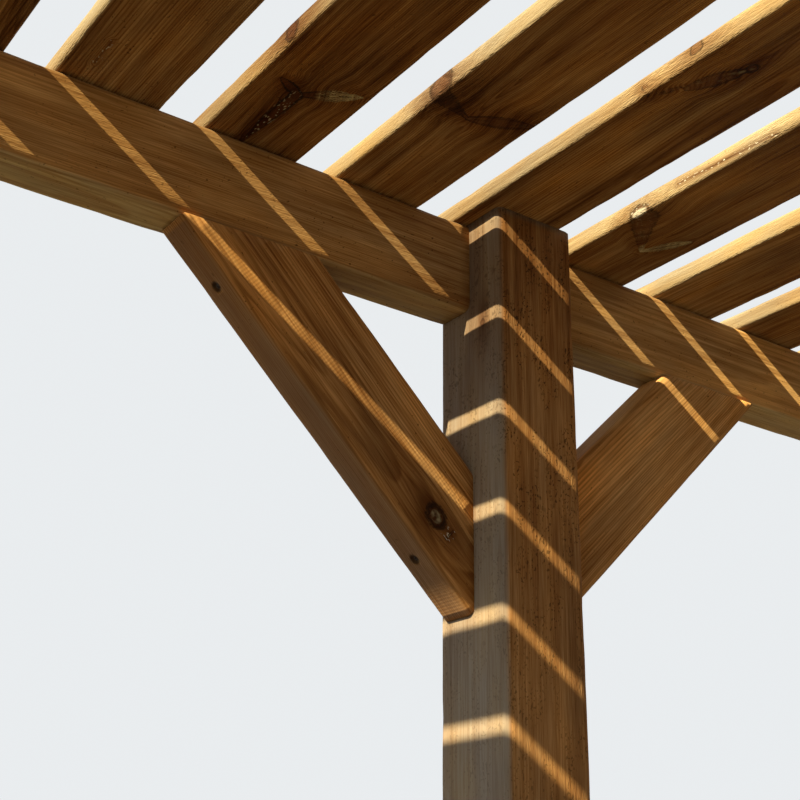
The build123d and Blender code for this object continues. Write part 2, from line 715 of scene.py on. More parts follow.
@dataclass(frozen=True)
class TimberFinish:
    """Weathered, pressure-treated softwood, worked out ring by ring in the board frame.

    Attributes:
        name: The material's name.
        early: The pale spring wood of each ring.
        late: The dark summer wood of each ring.
        ring: The width of a ring, in millimetres.
        lines: How strongly the rings show.
        bands: How strongly whole groups of rings differ.
        figure: How strongly its bands, streaks, fibres and patches show together.
        dashes: How many short dark specks its shaded sides have: few at 0, many at 1.
        nap: How far its fibres stand up, in millimetres.
        ripple: How deep the planer's ripples are, in millimetres.
        damp_and_shade: How much darker its ends are: damp end grain, and at the posts' tops painted shade
            under the deck.
        weathered_and_skylit: The colour of the side that the sun and the rain reach: partly real bleaching,
            partly painted light, the blue-grey that skylight gives the shade on that side.
        top: The colour of the faces that look up: their real grey bleaching, made darker as painted shade
            that holds back the strong key light on them.
        exposure: How far both have turned to it.
        ends: How much further its ends have.
        under: The colour of the underside; on the beams its paler olive is painted light, the bounce from the
            ground below.
        underside_share: How far the underside has turned to it.
        screwed: The face that its screws go into.
        screw_row: How far the rows of screws are from the middle, in millimetres.
        screw_side: How far the screws are from the centre line, in millimetres.
        stain: How far water has stained the wood round the screws, in millimetres.
        red: The heart of the tree, and the wood beside a knot.
        knot: The wood of a knot.
        bark: Bark, mould and water stains.
        straw: Pale torn fibres.
        resin: Dried resin.
    """

    name: str
    early: Colour
    late: Colour
    ring: float = 2.4
    lines: float = 0.65
    bands: float = 0.7
    figure: float = 1.0
    dashes: float = 0.3
    nap: float = 1.2
    ripple: float = 0.0
    damp_and_shade: float = 0.2
    weathered_and_skylit: Colour = (0.34, 0.26, 0.14)
    top: Colour = (0.190, 0.148, 0.098)
    exposure: float = 0.0
    ends: float = 0.5
    under: Colour = (0.36, 0.20, 0.065)
    underside_share: float = 0.0
    screwed: Screwed = Screwed.NOWHERE
    screw_row: float = 0.0
    screw_side: float = 0.0
    stain: float = 7.0
    red: Colour = (0.17, 0.052, 0.014)
    knot: Colour = (0.13, 0.048, 0.018)
    bark: Colour = (0.020, 0.009, 0.004)
    straw: Colour = (0.80, 0.66, 0.34)
    resin: Colour = (0.80, 0.70, 0.50)

    def build(self) -> bpy.types.Material:
        """Makes the material.

        Returns:
            The finish, ready for a mesh that carries the timber's attributes.
        """
        material = bpy.data.materials.new(self.name)
        TimberShader(self, emptied(material)).dress()
        return material


@dataclass(frozen=True)
class Cloud:
    """A cloudy pattern in the wood.

    Attributes:
        size: How large its clouds are along u, v and w, in millimetres.
        detail: How many finer layers it has.
        rough: How strong the finer layers are.
    """

    size: Place
    detail: float = 0.0
    rough: float = 0.5

    @property
    def per_mm(self) -> Place:
        """How many clouds there are to the millimetre, along u, v and w."""
        return tuple(1.0 / size for size in self.size)

    def read(self, bench: Bench, place: Value) -> Value:
        """The pattern from 0 to 1 at a place in millimetres."""
        return bench.noise(place * self.per_mm, self.detail, self.rough)


@dataclass(frozen=True)
class RingCloud:
    """A cloudy pattern that changes from ring to ring and slowly along the board.

    Attributes:
        across: How large its clouds are across the rings, in millimetres.
        along: How large they are along the board, in millimetres.
        stride: How far apart two boards read it, for seeds of 0 and 1.
        detail: How many finer layers it has.
    """

    across: float
    along: float
    stride: float
    detail: float

    def read(self, bench: Bench, radius: Value, u: Value, seed: Value) -> Value:
        """The pattern from 0 to 1 in a ring of a radius, at u along the board with that seed."""
        place = bench.vector(radius / self.across, u / self.along + seed * self.stride, 0.0)
        return bench.noise(place, self.detail, flat=True)


class TimberShader:
    """The nodes of one timber finish, fed by the values that the timbers' meshes carry.

    Lengths are in millimetres of the board frame where nothing else is said, and what isn't a
    length, a colour or a place runs from 0 to 1.

    Attributes:
        DRIFT: How the rings wander.
        STREAK: The long streaks.
        FIBRE: The fibres.
        PATCH: The broad patches of one tone.
        CLUSTER: Where specks come together.
        FLECK: The drops of dried resin.
        WOBBLE: What makes an edge ragged.
        PORE: The short dark specks.
        NAP: The fibres that stand up.
        GROWTH: How unevenly the tree grew.
        BANDS: How whole groups of rings differ.
        SEED_STRIDE: How far apart two boards read the patterns, for seeds of 0 and 1.
        DRIFT_REACH: How far the rings wander along u, v and w.
        TAPER: How much the tree narrows for each millimetre along the board.
        UNEVEN: By how many rings the growth runs ahead or behind.
        LATE_BEGINS: Where in a ring the summer wood begins and is full.
        LATE_ENDS: Where it gives way to the next ring.
        KNOT_SWIRL: How far the rings swirl round a knot.
        LEAST_GIRTH: The least radius of a knot.
        CORE_STRETCH: How much a distance along the grain counts for a knot's core.
        HOLD_STRETCH: How much it counts for a knot's hold on the grain.
        HOLD_REACH: How far the hold reaches, in the knot's radii.
        HOLD_BEYOND: How much further it does for any knot.
        BEND: How far the grain bends round a knot.
        PORE_WOBBLE: How ragged the specks are.
        FIBRE_WEIGHT: How strongly the fibres show beside the streaks.
        PATCH_WEIGHT: How strongly the patches do.
        SUN_BLEACH: How much of the figure the sun takes away.
        KNOT_SHADE: How much darker the wood round a knot is.
        LEAST_LEVEL: How dark the figure may get.
        GREEN_FALL: The power by which green falls as the wood darkens.
        BLUE_FALL: The power by which blue does.
        RED_SWING: How far red follows the wood's hue.
        BLUE_SWING: How far blue goes against it.
        HEART_REACH: How far the red of the tree's heart reaches.
        END_REACH: How far an end's darkening reaches, in metres: damp end grain, and painted shade at the
            posts' tops.
        MOULD_REACH: How far an end's mould reaches, in metres.
        RIPPLE_PERIOD: How far apart the planer's ripples are.
        NARROW_STAINS: How far from the middle the stains of a narrow face's screws begin.
    """

    DRIFT = Cloud((420.0, 85.0, 85.0))
    STREAK = Cloud((210.0, 4.2, 4.2), 1.0)
    FIBRE = Cloud((34.0, 1.25, 1.25), 1.0, 0.6)
    PATCH = Cloud((150.0, 45.0, 45.0), 1.0)
    CLUSTER = Cloud((42.0, 15.0, 15.0))
    FLECK = Cloud((3.8, 1.6, 1.6))
    WOBBLE = Cloud((6.0, 6.0, 6.0), 1.0)
    PORE = Cloud((3.0, 2.0, 2.0))
    NAP = Cloud((5.0, 0.9, 0.9))
    GROWTH = RingCloud(14.0, 1400.0, 77.0, 2.0)
    BANDS = RingCloud(8.0, 900.0, 31.0, 1.0)
    SEED_STRIDE = (371.0, 917.0, 533.0)
    DRIFT_REACH = (0.0, 20.0, 20.0)
    TAPER = 0.006
    UNEVEN = 2.4
    LATE_BEGINS = (0.30, 0.86)
    LATE_ENDS = (0.90, 1.0)
    KNOT_SWIRL = 2.5
    LEAST_GIRTH = 0.4
    CORE_STRETCH = 0.7
    HOLD_STRETCH = 0.13
    HOLD_REACH = 1.7
    HOLD_BEYOND = 3.0
    BEND = 0.8
    PORE_WOBBLE = 3.0
    FIBRE_WEIGHT = 1.1
    PATCH_WEIGHT = 1.2
    SUN_BLEACH = 0.55
    KNOT_SHADE = 0.22
    LEAST_LEVEL = 0.22
    GREEN_FALL = 1.35
    BLUE_FALL = 1.7
    RED_SWING = 0.25
    BLUE_SWING = 0.5
    HEART_REACH = 9.0
    END_REACH = 0.2
    MOULD_REACH = 0.45
    RIPPLE_PERIOD = 3.4
    NARROW_STAINS = 40.0

    def __init__(self, finish: TimberFinish, bench: Bench) -> None:
        """Reads what the mesh carries and works out the patterns.

        Args:
            finish: The finish.
            bench: The bench for its nodes.
        """
        self.finish = finish
        self.bench = bench
        self.grain = self._read(Attribute.GRAIN) * TO_MM
        heart_v, heart_w, self.seed = self._read(Attribute.BOARD).parts()
        self.light, self.grey, _ = self._read(Attribute.TONE).parts()
        self.shift = bench.vector(*(self.seed * stride for stride in self.SEED_STRIDE))
        self._meet_knots()
        self._grow_rings(heart_v * TO_MM, heart_w * TO_MM)
        self._spread_clouds()
        self._look_round()

    def _read(self, name: str) -> Value:
        """A mesh attribute as a vector, whose sibling "Fac" is a number."""
        settings = {"attribute_type": "GEOMETRY", "attribute_name": name}
        return self.bench.node("ShaderNodeAttribute", settings).sibling("Vector")

    def _meet_knots(self) -> None:
        """Works out how near the knots are, what is seen of them, and how the grain bends round them."""
        bodies, holds = [], []
        self.bent = self.grain
        looks: Any = (0.0, 0.0, 0.0)
        for number in range(1, Saw.KNOTS + 1):
            at, reach, girth, look = (self._read(Attribute.knot(number, w)) for w in Attribute.KNOT_PARTS)
            at, reach, girth = at * TO_MM, reach * TO_MM, girth * TO_MM
            from_start = self.grain - at
            along = from_start.dot(reach) / reach.dot(reach)
            aside_u, aside_v, aside_w = (from_start - reach * along).parts()
            run = along.within(0.0, 1.0)
            left = 1.0 - run
            shares = self.bench.vector(left * left, run * left * 2.0, run * run)
            radius = girth.dot(shares) + self.LEAST_GIRTH
            beyond = (along - run) * reach.length()
            across = aside_v * aside_v + aside_w * aside_w + beyond * beyond
            along_grain = aside_u * aside_u
            away = (along_grain * self.HOLD_STRETCH + across).maths("SQRT")
            hold = (away / (radius * self.HOLD_REACH + self.HOLD_BEYOND)).bell()
            self.bent = self.bent - self.bench.vector(0.0, aside_v, aside_w) * (hold * self.BEND)
            bodies.append((along_grain * self.CORE_STRETCH + across).maths("SQRT") / radius)
            holds.append(hold)
            looks = look * hold + looks
        self.nearest = functools.reduce(Value.least, bodies)
        self.hold = functools.reduce(Value.most, holds)
        resin, self.straw, self.bark = looks.parts()
        self.sticky = resin.step(0.35, 0.65)
        self.clear = resin.step(0.66, 0.80)
        self.pale = (self.straw - self.bark * 0.75).most(0.0)
        self.calm = 1.0 - self.pale.most(self.clear)

    def _grow_rings(self, heart_v: Value, heart_w: Value) -> None:
        """Works out the growth rings, which wander along the board and swirl round its knots.

        Args:
            heart_v: Where the tree's middle is across the board's width.
            heart_w: Where it is through the board's thickness.
        """
        drift = self.bench.noise(self.grain * self.DRIFT.per_mm + self.shift, 0.0).sibling("Color")
        u, v, w = (self.bent + (drift - (0.5, 0.5, 0.5)) * self.DRIFT_REACH).parts()
        off_v, off_w = v - heart_v, w - heart_w
        out = (off_v * off_v + off_w * off_w).maths("SQRT")
        self.radius = out + u * self.TAPER + self.hold * self.KNOT_SWIRL
        growth = self.GROWTH.read(self.bench, self.radius, u, self.seed)
        part = (self.radius / self.finish.ring + growth * self.UNEVEN).maths("FRACT")
        self.late = part.step(*self.LATE_BEGINS) * (1.0 - part.step(*self.LATE_ENDS))
        self.band = self.BANDS.read(self.bench, self.radius, u, self.seed)

    def _spread_clouds(self) -> None:
        """Reads the patterns: those of the fibres where the grain has bent, the others straight."""
        bench, place, still = self.bench, self.bent + self.shift, self.grain + self.shift
        self.streak = self.STREAK.read(bench, place)
        self.fibre = self.FIBRE.read(bench, place)
        self.patch = self.PATCH.read(bench, place)
        self.cluster = self.CLUSTER.read(bench, place)
        self.wobble = self.WOBBLE.read(bench, still)
        self.nap = self.NAP.read(bench, still)
        self.pore = bench.noise(place * self.PORE.per_mm + self.wobble * self.PORE_WOBBLE, 0.0)
        self.drop = self.FLECK.read(bench, still).step(0.35, 0.29) * self.sticky

    def _look_round(self) -> None:
        """Works out how near the board's ends are and which way its face looks."""
        from_end = self._read(Attribute.END).sibling("Fac")
        self.end = (from_end / self.END_REACH).bell()
        self.mould = (from_end / self.MOULD_REACH).bell()
        normal = self.bench.node("ShaderNodeNewGeometry", {}).sibling("Normal")
        facing_x, _, self.facing_z = normal.parts()
        self.sunward = (facing_x * -1.0).most(self.facing_z).step(0.25, 0.85)

    def _tone(self) -> Value:
        """Works out how the figure lightens, darkens and tints the wood.

        Returns:
            A factor for each channel of a colour.
        """
        finish = self.finish
        uneven = (self.band - 0.5) * finish.bands + (self.streak - 0.5)
        uneven = uneven + (self.fibre - 0.5) * self.FIBRE_WEIGHT + (self.patch - 0.5) * self.PATCH_WEIGHT
        uneven = uneven * (1.0 - self.sunward * self.SUN_BLEACH) * finish.figure
        # Darker towards the ends: damp end grain, and at the posts' tops painted shade under the deck.
        level = 1.0 + self.light + uneven - self.hold * self.calm * self.KNOT_SHADE - self.end * finish.damp_and_shade
        level = level.most(self.LEAST_LEVEL)
        hue = self.patch.sibling("Color").dot((1.0, -1.0, 0.0)) + (self.cluster - 0.5) * 0.5
        hue = hue * finish.figure
        red = level * (1.0 + hue * self.RED_SWING)
        blue = level ** self.BLUE_FALL * (1.0 - hue * self.BLUE_SWING)
        return self.bench.vector(red, level ** self.GREEN_FALL, blue)

    def _plain_wood(self) -> Value:
        """Mixes the rings, what the weather did to them with painted light on the sunward sides and tops, the
        underside's own colour with painted bounce light on the beams, and the red of the heart.

        Returns:
            The colour between the knots, before its tone.
        """
        finish, mix = self.finish, self.bench.mix
        late = self.late * (0.55 + self.cluster * 0.9 + self.hold * 0.6)
        colour = mix(late * finish.lines, finish.early, finish.late)
        # Painted light on the beams: their paler olive underside colour stands for light bounced up from the
        # ground.
        if finish.underside_share:
            below = (self.facing_z * -1.0).step(0.40, 0.80) * finish.underside_share
            colour = mix(below, colour, mix(late * (finish.lines * 0.8), finish.under, finish.late))
        # Partly painted light: faces towards -X and up take the sunward colour, real bleaching by sun and
        # rain mixed with the painted blue-grey of skylit shade on the sun side.
        weather = self.sunward * (0.75 + self.patch * 0.5) + self.end * finish.ends
        weather = (weather * finish.exposure + self.grey).within(0.0, 1.0)
        # Painted shade: the up-facing colour is darkened to hold back the key light that falls on the tops.
        bleached_and_painted = mix(self.facing_z.step(0.3, 0.8), finish.weathered_and_skylit, finish.top)
        colour = mix(weather, colour, mix(late * 0.10, bleached_and_painted, finish.late))
        beside_knot = self.hold * (0.3 + self.bark * 0.25) * self.calm
        return mix((self.radius / self.HEART_REACH).bell() * 0.6 + beside_knot, colour, finish.red)

    def _add_knots(self, colour: Value, tone: Value) -> Value:
        """Paints the knots: their core, torn fibres, dark rim and bark.

        Args:
            colour: The wood between them.
            tone: The factor of the figure.

        Returns:
            The colour with knots.
        """
        finish, mix, bark = self.finish, self.bench.mix, self.bark
        ragged = (self.wobble - 0.5) * 0.75 + (self.fibre - 0.5) * 0.2 + (self.streak - 0.5) * self.pale * 1.8
        ratio = self.nearest + ragged
        self.inside = 1.0 - ratio.step(0.80, 1.05)
        seam = (ratio * 3.3).maths("FRACT") * (1.0 - bark) + (self.wobble * 2.4 - 0.7) * bark
        core = mix(seam * 0.5, finish.knot, finish.red) * tone
        colour = mix(self.inside * (0.50 + bark * 0.38), colour, core)
        torn = (seam + (self.streak - 0.5) * 1.2 + self.pale * 1.2).step(1.0, 1.4)
        torn = torn * ratio.step(1.30, 1.05) * ((self.pale - 0.2) * 5.0).within(0.0, 1.0)
        dry = ratio.step(0.60, 0.42) * bark * self.straw
        dry = dry * (self.wobble * 0.5 + self.cluster * 0.5).step(0.46, 0.60)
        colour = mix(torn.most(dry * 0.5) * 0.85, colour, finish.straw)
        rim = ((ratio - 1.0) / 0.12).bell() * self.wobble.step(0.36, 0.50) * (0.75 + bark * 0.2)
        pith = (self.nearest / 0.22).bell() * self.cluster.step(0.42, 0.55) * (1.0 - bark)
        ring = ratio.step(0.56, 0.78) * bark * self.inside
        return mix(rim.most(pith * 0.8).most(ring) * 0.9, colour, finish.bark)

    def _add_specks(self, colour: Value) -> Value:
        """Paints mould, resin and the water stains round the screws.

        Args:
            colour: The wood and its knots.

        Returns:
            The finished colour.
        """
        finish, mix = self.finish, self.bench.mix
        sparse = 0.74 - finish.dashes * 0.12
        dash = self.pore.step(sparse, sparse + 0.08) * self.cluster.step(0.38, 0.56)
        dash = dash * (1.0 - self.sunward * 0.45) * (0.3 + self.mould * 0.5)
        blotch = self.wobble.step(0.58, 0.74) * self.cluster.step(0.42, 0.60)
        blotch = blotch * self.mould * (finish.dashes * 0.45)
        colour = mix(dash.most(blotch), colour, finish.bark)
        colour = mix((self.drop * 0.75).most(self.inside * self.clear * 0.6), colour, finish.resin)
        if finish.screwed is not Screwed.NOWHERE:
            colour = mix(self._screw_stains() * 0.85, colour, finish.bark)
        return colour

    def _screw_stains(self) -> Value:
        """Works out where water has stained the wood round the screws.

        Returns:
            How far the wood is stained.
        """
        finish = self.finish
        u, v, w = self.grain.parts()
        broad = finish.screwed is Screwed.BROAD
        across, depth, along = (v, w, 0.3) if broad else (w, v * -1.0 - self.NARROW_STAINS, 1.0)
        off_u, off_v = abs(u) - finish.screw_row, abs(across) - finish.screw_side
        away = (off_u * off_u * along + off_v * off_v).maths("SQRT")
        return (away / finish.stain).step(1.35, 0.75) * depth.step(0.0, 5.0)

    def _relief(self) -> Value:
        """Raises the fibres, coarser beside the knots, and the planer's ripples.

        Returns:
            The surface's normal.
        """
        fuzz = self._read(Attribute.FUZZ).sibling("Fac")
        height = (self.nap - 0.5) * (self.finish.nap + fuzz * 0.8)
        if self.finish.ripple:
            wave = (self.grain.parts()[0] * (2 * math.pi / self.RIPPLE_PERIOD)).maths("SINE")
            height = height + wave * self.finish.ripple
        return self.bench.node("ShaderNodeBump", {}, {"Strength": 1.0, "Distance": MM, "Height": height})

    def dress(self) -> None:
        """Ends the material in its surface."""
        tone = self._tone()
        colour = self._add_specks(self._add_knots(self._plain_wood() * tone, tone))
        rough = (0.60 + (self.streak - 0.5) * 0.4 - self.drop * 0.35).within(0.2, 0.9)
        self.bench.surface({
            "Base Color": colour,
            "Roughness": rough,
            "Diffuse Roughness": 1.0,
            "Normal": self._relief(),
            "Specular IOR Level": 0.03,
        })


@dataclass(frozen=True)
class SteelFinish:
    """Dull plated steel that has begun to brown.

    Attributes:
        name: The material's name.
        clean: The plating.
        brown: The stain on it.
        stains_per_metre: How close its stains lie.
    """

    name: str = "screw_steel"
    clean: Colour = (0.06, 0.045, 0.032)
    brown: Colour = (0.030, 0.012, 0.005)
    stains_per_metre: float = 700.0

    def build(self) -> bpy.types.Material:
        """Makes the material.

        Returns:
            The finish, on Object coordinates.
        """
        material = bpy.data.materials.new(self.name)
        bench = emptied(material)
        place = bench.node("ShaderNodeTexCoord", {}).sibling("Object")
        stain = bench.noise(place * self.stains_per_metre, 2.0)
        stained = stain.step(0.42, 0.62)
        rough = {"Strength": 0.4, "Distance": MM * 0.2, "Height": stain}
        bench.surface({
            "Base Color": bench.mix(stained, self.clean, self.brown),
            "Metallic": 0.5 - stained * 0.4,
            "Roughness": 0.60 + stain * 0.3,
            "Normal": bench.node("ShaderNodeBump", {}, rough),
            "Specular IOR Level": 0.1,
        })
        return material


class Kind(Enum):
    """The pergola's kinds of timber, as the record names their finishes."""

    POST = "post_timber"
    BEAM = "beam_timber"
    BRACE = "brace_timber"
    SLAT = "slat_timber"


FINISHES = {
    Kind.POST: TimberFinish(
        Kind.POST.value,
        early=(0.41, 0.192, 0.060), late=(0.22, 0.088, 0.024), ring=3.4, lines=0.22, figure=0.80,
        weathered_and_skylit=(0.356, 0.261, 0.164), exposure=0.92, ends=0.0, damp_and_shade=0.20, dashes=0.9, nap=0.25),
    Kind.BEAM: TimberFinish(
        Kind.BEAM.value,
        early=(0.55, 0.287, 0.090), late=(0.31, 0.132, 0.033), lines=0.46, figure=0.65,
        weathered_and_skylit=(0.36, 0.26, 0.14), exposure=0.5, under=(0.53, 0.380, 0.185), underside_share=0.85,
        dashes=0.0, nap=0.32),
    Kind.BRACE: TimberFinish(
        Kind.BRACE.value,
        early=(0.58, 0.285, 0.085), late=(0.29, 0.118, 0.029), lines=0.6, figure=0.75,
        under=(0.32, 0.182, 0.093), underside_share=0.9, dashes=-0.3, nap=0.05, ripple=0.024,
        screwed=Screwed.NARROW, screw_row=151.5, stain=5.2),
    Kind.SLAT: TimberFinish(
        Kind.SLAT.value,
        early=(0.44, 0.205, 0.048), late=(0.20, 0.074, 0.014), ring=1.8, lines=1.0, bands=1.0,
        weathered_and_skylit=(0.385, 0.268, 0.134), exposure=0.9, under=(0.350, 0.165, 0.052), underside_share=0.9,
        dashes=0.0, nap=0.5, screwed=Screwed.BROAD, screw_row=1185.0, screw_side=30.0),
}


def round_knot(u: float, v: float, radius: float, thickness: float, lean: float = 0.0) -> Knot:
    """A knot that goes straight through a board's thickness.

    Args:
        u: Where it is along the board.
        v: Where it is across it.
        radius: Its radius.
        thickness: The board's thickness.
        lean: How far it leans along the board on its way through.

    Returns:
        The knot.
    """
    return Knot((u, v, -thickness), (lean, 0.0, 2 * thickness), (radius, radius, radius))


@dataclass(frozen=True)
class ChanceWood:
    """Wood for the timbers that the photograph doesn't show closely.

    Attributes:
        heart_aside: Where the tree's middle may lie across a board, in widths.
        heart_off: How far it may lie from the middle through the board, in thicknesses.
        share: Where in its own share of the length a knot may be, from 0 to 1.
        aside: Where across the board it may be, in widths.
        girth: Its radius, in widths.
        lean: How far it may lean along the board, in metres.
        round_share: The share of the knots that are sawn across.
        spike_reach: How far a knot that is sawn along reaches across the board, in widths.
        spike_off: Where it may lie through the board, in thicknesses.
        light: How much darker or lighter than its kind a board may be.
        grey: How much less or more weathered than its kind it may be.
    """

    heart_aside: tuple[float, float] = (-0.8, 0.8)
    heart_off: tuple[float, float] = (0.3, 2.2)
    share: tuple[float, float] = (0.2, 0.8)
    aside: tuple[float, float] = (-0.40, 0.40)
    girth: tuple[float, float] = (0.045, 0.11)
    lean: tuple[float, float] = (-0.03, 0.03)
    round_share: float = 0.6
    spike_reach: float = 0.62
    spike_off: tuple[float, float] = (-0.35, 0.35)
    light: tuple[float, float] = (-0.16, 0.16)
    grey: tuple[float, float] = (-0.05, 0.12)

    def grow(self, node: str, length: float, width: float, thickness: float, every: float) -> Wood:
        """Draws the wood of one timber.

        Args:
            node: The timber's node, which seeds the chance.
            length: Its size along u.
            width: Its size along v.
            thickness: Its size along w.
            every: About how far apart its knots are.

        Returns:
            The wood.
        """
        chance = random.Random(f"wood of {node}")
        heart_v = chance.uniform(*self.heart_aside) * width
        heart_w = chance.choice((-1, 1)) * chance.uniform(*self.heart_off) * thickness
        count = min(Saw.KNOTS, round(length / every))
        knots = []
        for index in range(count):
            u = ((index + chance.uniform(*self.share)) / count - 0.5) * length
            v = chance.uniform(*self.aside) * width
            radius = chance.uniform(*self.girth) * width
            lean = chance.uniform(*self.lean)
            if chance.random() < self.round_share:
                knots.append(round_knot(u, v, radius, thickness, lean))
            else:
                reach = (lean * 2, math.copysign(self.spike_reach, v) * width, 0.0)
                start = (u, v * 0.2, chance.uniform(*self.spike_off) * thickness)
                knots.append(Knot(start, reach, (0.001, radius, radius)))
        light = chance.uniform(*self.light)
        return Wood((heart_v, heart_w), light, chance.uniform(*self.grey), tuple(knots))


SHOWN_WOOD = {
    "slat_11": Wood((0.06, 0.045), light=0.10, knots=(
        Knot((1.10, 0.0265, -0.0105), (0.035, 0.0, 0.0), (0.0005, 0.0005, 0.0005), (0.6, 0.0, 0.0)),
    )),
    "slat_12": Wood((0.012, -0.012), light=-0.22, knots=(
        Knot((1.072, 0.007, -0.010), (-0.012, 0.024, -0.001), (0.003, 0.007, 0.001), (0.0, 0.0, 1.0)),
        Knot((1.069, 0.002, -0.010), (-0.026, -0.042, -0.001), (0.003, 0.009, 0.001), (0.0, 0.55, 0.0)),
        Knot((1.074, 0.008, -0.010), (0.080, 0.003, 0.0), (0.006, 0.007, 0.001), (0.52, 0.0, 1.1)),
        Knot((1.012, 0.044, -0.002), (0.0, 0.010, 0.004), (0.007, 0.008, 0.009)),
    )),
    "slat_13": Wood((0.004, -0.016), light=0.09, knots=(
        Knot((1.013, 0.009, -0.010), (-0.016, 0.046, 0.010), (0.001, 0.007, 0.014), (0.0, 0.0, 0.6)),
        Knot((1.013, 0.009, -0.010), (-0.024, -0.056, 0.001), (0.002, 0.012, 0.002), (0.0, 0.1, 0.5)),
        round_knot(0.35, 0.02, 0.008, 0.021),
        round_knot(-0.30, -0.02, 0.010, 0.021),
    )),
    "slat_14": Wood((-0.03, 0.034), light=0.04, knots=(
        Knot((0.820, 0.008, -0.011), (0.046, 0.020, 0.001), (0.003, 0.013, 0.003), (0.0, 0.55, 0.35)),
        Knot((0.814, 0.005, -0.014), (0.0, 0.001, 0.012), (0.0055, 0.005, 0.004), (0.0, 0.0, 0.8)),
        Knot((0.868, 0.034, -0.008), (0.028, 0.012, 0.006), (0.002, 0.007, 0.004), (0.0, 0.0, 0.0)),
        Knot((0.834, 0.046, 0.002), (-0.001, 0.008, 0.002), (0.006, 0.006, 0.005), (0.0, 0.0, 0.0)),
    )),
    "slat_15": Wood((-0.006, -0.016), light=0.03, knots=(
        Knot((1.097, -0.006, -0.010), (-0.055, 0.051, -0.003), (0.001, 0.007, 0.014), (0.0, 0.50, 0.3)),
        Knot((1.097, -0.006, -0.010), (-0.045, -0.026, 0.0), (0.001, 0.009, 0.002), (0.0, 0.55, 0.0)),
        Knot((0.99, 0.050, 0.0), (-0.12, 0.0, -0.006), (0.0005, 0.0005, 0.0005), (0.62, 0.0, 0.0)),
        Knot((1.049, 0.054, -0.010), (-0.014, 0.001, 0.001), (0.004, 0.006, 0.004), (1.0, 0.0, 0.0)),
    )),
    "slat_16": Wood((0.05, 0.035), light=0.10),
    "slat_17": Wood((-0.03, 0.05), light=0.08),
    "back_post_2": Wood((0.03, -0.06), light=-0.05, knots=(
        Knot((1.007, 0.0, 0.0), (0.0, -0.051, -0.022), (0.001, 0.002, 0.003), (0.0, 0.3, 0.2)),
        Knot((0.2, 0.0, 0.0), (0.0, 0.045, -0.05), (0.002, 0.004, 0.008)),
        Knot((-0.5, 0.0, 0.0), (0.0, -0.02, -0.055), (0.002, 0.006, 0.012)),
    )),
    "back_brace_2_left": Wood((-0.030, 0.050), knots=(
        Knot((-0.132, -0.0184, -0.03), (0.004, 0.0, 0.06), (0.010, 0.011, 0.0115), (0.0, 0.9, 1.0)),
        Knot((-0.153, -0.0244, -0.0215), (0.0, 0.012, 0.0), (0.0005, 0.0005, 0.0005), (0.62, 0.0, 0.0)),
    )),
    "back_brace_2_right": Wood((0.10, 0.09), light=0.27),
    "back_beam_1": Wood((-0.004, 0.06), light=-0.02),
    "back_beam_2": Wood((0.16, -0.02), light=0.03),
}


class Yard:
    """Holds the saw and the finishes, and hands out finished timbers."""

    def __init__(self, frame: dict[str, Any]) -> None:
        """Prepares the saw and the finishes.

        Args:
            frame: The loaded part.
        """
        self.saw = Saw()
        self.chance = ChanceWood()
        self.finishes = {kind: finish.build() for kind, finish in FINISHES.items()}
        self.slots = {s["node"]: s["material_slot"] for s in frame["record"]["subparts"]}

    def nodes(self, kind: Kind) -> list[str]:
        """The part's nodes of one kind of timber."""
        return [node for node, slot in self.slots.items() if slot == kind.value]

    def wood(self, node: str, length: float, width: float, thickness: float, every: float) -> Wood:
        """The photographed wood of a timber, or else chance wood."""
        return SHOWN_WOOD.get(node) or self.chance.grow(node, length, width, thickness, every)

    @staticmethod
    def seat(piece: bpy.types.Object, node: str, kind: Kind) -> None:
        """Ties a piece to the part and reports it.

        Args:
            piece: The piece.
            node: The node that it stands for.
            kind: Its kind; not used.
        """
        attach(piece, BODY)
        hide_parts(node)
        LOG.info("%s: %d faces", piece.name, len(piece.data.polygons))


@dataclass
class StraightTimbers:
    """Timbers cut square at both ends, each as large as its node.

    Attributes:
        kind: Their kind.
        along: The way that they run.
        across: The way that their width lies.
        arris: The radius of their long edges.
        knot_every: About how far apart their knots are.
        rounding: How many steps round off half an arris.
        dip: How far their upper faces lie below the nodes', so that screw heads show.
        swell: How much the edges of the photographed ones stand proud beside knots.
    """

    kind: Kind
    along: Place
    across: Place
    arris: float
    knot_every: float = 0.6
    rounding: int = 3
    dip: float = 0.0
    swell: float = 0.0

    def build(self, yard: Yard) -> None:
        """Makes every timber of the kind.

        Args:
            yard: Where the timbers come from.
        """
        along, across = Vector(self.along), Vector(self.across)
        for node in yard.nodes(self.kind):
            low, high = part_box(node)
            high.z -= self.dip
            size = high - low
            sides = [abs(size.dot(axis)) for axis in (along, across, along.cross(across))]
            place = board_frame(along, across, (low + high) / 2)
            wood = yard.wood(node, *sides, self.knot_every)
            swell = self.swell if node in SHOWN_WOOD else 0.0
            timber = Timber(node, *sides, self.arris, place, wood, self.rounding, swell)
            yard.seat(yard.saw.cut(timber, yard.finishes[self.kind]), node, self.kind)


@dataclass
class Posts(StraightTimbers):
    """The square posts."""

    kind: Kind = Kind.POST
    along: Place = (0.0, 0.0, 1.0)
    across: Place = (1.0, 0.0, 0.0)
    arris: float = 8 * MM


@dataclass
class Beams(StraightTimbers):
    """The beams between the posts."""

    kind: Kind = Kind.BEAM
    along: Place = (1.0, 0.0, 0.0)
    across: Place = (0.0, 1.0, 0.0)
    arris: float = 8 * MM


@dataclass
class SlatDeck(StraightTimbers):
    """The flat slats over both rows."""

    kind: Kind = Kind.SLAT
    along: Place = (0.0, 1.0, 0.0)
    across: Place = (-1.0, 0.0, 0.0)
    arris: float = 4 * MM
    knot_every: float = 0.62
    rounding: int = 2
    dip: float = 0.4 * MM
    swell: float = 1.0


